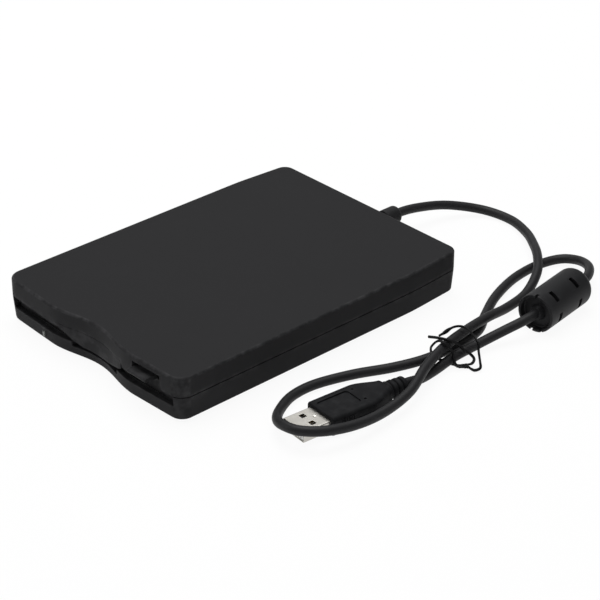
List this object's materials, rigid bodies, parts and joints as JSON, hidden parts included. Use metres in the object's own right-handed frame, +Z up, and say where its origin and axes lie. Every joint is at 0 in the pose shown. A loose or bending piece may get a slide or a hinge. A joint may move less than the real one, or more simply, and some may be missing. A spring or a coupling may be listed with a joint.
{
  "type": "external floppy disk drive",
  "caption": "Flat external floppy disk drive with a wave-shaped front, disk slot with flap, eject button and working mechanism, and a tied USB lead with a ferrite bead.",
  "frame": {"origin": "middle of the case's footprint, on the surface that the feet stand on, leaving out the lead and what is on it", "axes": "+Z up from the feet to the top, +Y from the disk slot at the front to the rear where the lead leaves, +X to the right seen from the front"},
  "size_m": [0.153, 0.2045, 0.019],
  "materials": {
    "upper_shell": "fine moulded texture",
    "lower_shell": "fine moulded texture",
    "foot_rubber": "dull",
    "black_screw": "blackened",
    "light_pipe": "translucent",
    "inner_plastic": "moulded",
    "flap_plastic": "fine moulded texture",
    "button_plastic": "fine moulded texture",
    "sheet_steel": "zinc plated",
    "frame_steel": "zinc plated",
    "spring_wire": "bright wire",
    "turned_steel": "ground",
    "zinc_lever": "yellow zinc",
    "bronze": "sintered",
    "motor_iron": "laminated",
    "copper_wire": "enamelled",
    "magnet_ferrite": "sintered",
    "chuck_steel": "dull",
    "carriage_plastic": "glass filled",
    "head_ceramic": "polished",
    "motor_can": "satin",
    "board_green": "solder mask",
    "chip_epoxy": "moulded",
    "white_nylon": "satin",
    "ribbon_white": "satin",
    "connector_cream": "satin",
    "core_insulation": "satin",
    "cord_rubber": "satin",
    "bead_plastic": "satin",
    "tie_plastic": "satin",
    "plug_plastic": "fine moulded texture",
    "plug_steel": "nickel plated",
    "gold_plate": "plated"
  },
  "bodies": {
    "case": {"top_cover": "upper_shell", "bottom_cover": "lower_shell", "rubber_feet": "foot_rubber", "case_screws": "black_screw", "led_light_pipe": "light_pipe", "slot_bezel": "inner_plastic", "flap_spring": "spring_wire", "eject_springs": "spring_wire", "drive_frame": "frame_steel", "drive_shield": "sheet_steel", "lever_spring": "spring_wire", "spindle_bearing": "bronze", "stator_core": "motor_iron", "stator_coils": "copper_wire", "guide_rod": "turned_steel", "rod_clamps": "inner_plastic", "screw_bearing": "inner_plastic", "stepper_motor": "motor_can", "drive_board": "board_green", "board_chips": "chip_epoxy", "sensor_switches": "chip_epoxy", "usb_board": "board_green", "usb_chip": "chip_epoxy", "usb_crystal": "motor_can", "ribbon_cable": "ribbon_white", "ribbon_sockets": "connector_cream", "wire_header": "connector_cream", "core_wires": "core_insulation", "strain_relief": "cord_rubber", "usb_lead": "cord_rubber", "lead_tail": "cord_rubber", "ferrite_bead": "bead_plastic", "twist_tie": "tie_plastic", "plug_moulding": "plug_plastic", "plug_shell": "plug_steel", "plug_tongue": "white_nylon", "plug_contacts": "gold_plate"},
    "flap": {"slot_flap": "flap_plastic"},
    "eject": {"eject_button": "button_plastic", "eject_slide": "sheet_steel"},
    "holder": {"disk_holder": "sheet_steel", "holder_pins": "turned_steel"},
    "lever": {"trigger_lever": "zinc_lever"},
    "rotor": {"spindle_rotor": "sheet_steel", "rotor_magnet": "magnet_ferrite", "chuck_plate": "chuck_steel", "drive_pin": "turned_steel"},
    "carriage": {"head_carriage": "carriage_plastic", "lower_head": "head_ceramic"},
    "arm": {"head_arm": "carriage_plastic", "upper_head": "head_ceramic"},
    "screw": {"lead_screw": "turned_steel"},
    "protect": {"protect_plunger": "white_nylon"},
    "density": {"density_plunger": "white_nylon"},
    "presence": {"presence_plunger": "white_nylon"}
  },
  "joints": [
    {"name": "eject_travel", "type": "slide", "parent": "case", "child": "eject", "axis": [0, 1, 0], "range_m": [-0.005, 0], "deforming": ["eject_springs"]},
    {"name": "holder_lift", "type": "slide", "parent": "case", "child": "holder", "axis": [0, 0, 1], "range_m": [-0.0022, 0]},
    {"name": "head_arm_swing", "type": "hinge", "parent": "carriage", "child": "arm", "pos_m": [0, 0.051, 0.014], "axis": [-1, 0, 0], "range_deg": [-9.35, 0]},
    {"name": "carriage_travel", "type": "slide", "parent": "case", "child": "carriage", "axis": [0, 1, 0], "range_m": [-0.0148, 0]},
    {"name": "screw_turn", "type": "hinge", "parent": "case", "child": "screw", "pos_m": [-0.016, 0.04, 0.0076], "axis": [0, 1, 0], "range_deg": [-1777, 0]},
    {"name": "spindle_spin", "type": "hinge", "parent": "case", "child": "rotor", "pos_m": [0, -0.017, 0.005], "axis": [0, 0, 1], "continuous": true},
    {"name": "trigger_swing", "type": "hinge", "parent": "case", "child": "lever", "pos_m": [-0.044, 0.0334, 0.0136], "axis": [0, 0, 1], "range_deg": [0, 57], "stiffness_Nm_per_rad": 0.001, "springref_deg": -11.46},
    {"name": "flap_swing", "type": "hinge", "parent": "case", "child": "flap", "pos_m": [0, -0.0666, 0.012], "axis": [1, 0, 0], "range_deg": [0, 86], "stiffness_Nm_per_rad": 0.0004, "springref_deg": -17.19},
    {"name": "protect_press", "type": "slide", "parent": "case", "child": "protect", "axis": [0, 0, -1], "range_m": [0, 0.0011], "stiffness_N_per_m": 200, "springref_m": -0.0005},
    {"name": "density_press", "type": "slide", "parent": "case", "child": "density", "axis": [0, 0, -1], "range_m": [0, 0.0011], "stiffness_N_per_m": 200, "springref_m": -0.0005},
    {"name": "presence_press", "type": "slide", "parent": "case", "child": "presence", "axis": [0, 0, -1], "range_m": [0, 0.0011], "stiffness_N_per_m": 200, "springref_m": -0.0005}
  ],
  "couplings": [
    {"joint": "holder_lift", "follows": "eject_travel", "ratio": 0.44},
    {"joint": "head_arm_swing", "follows": "eject_travel", "rad_per_m": 32.4},
    {"joint": "screw_turn", "follows": "carriage_travel", "rad_per_m": 2094.4}
  ]
}
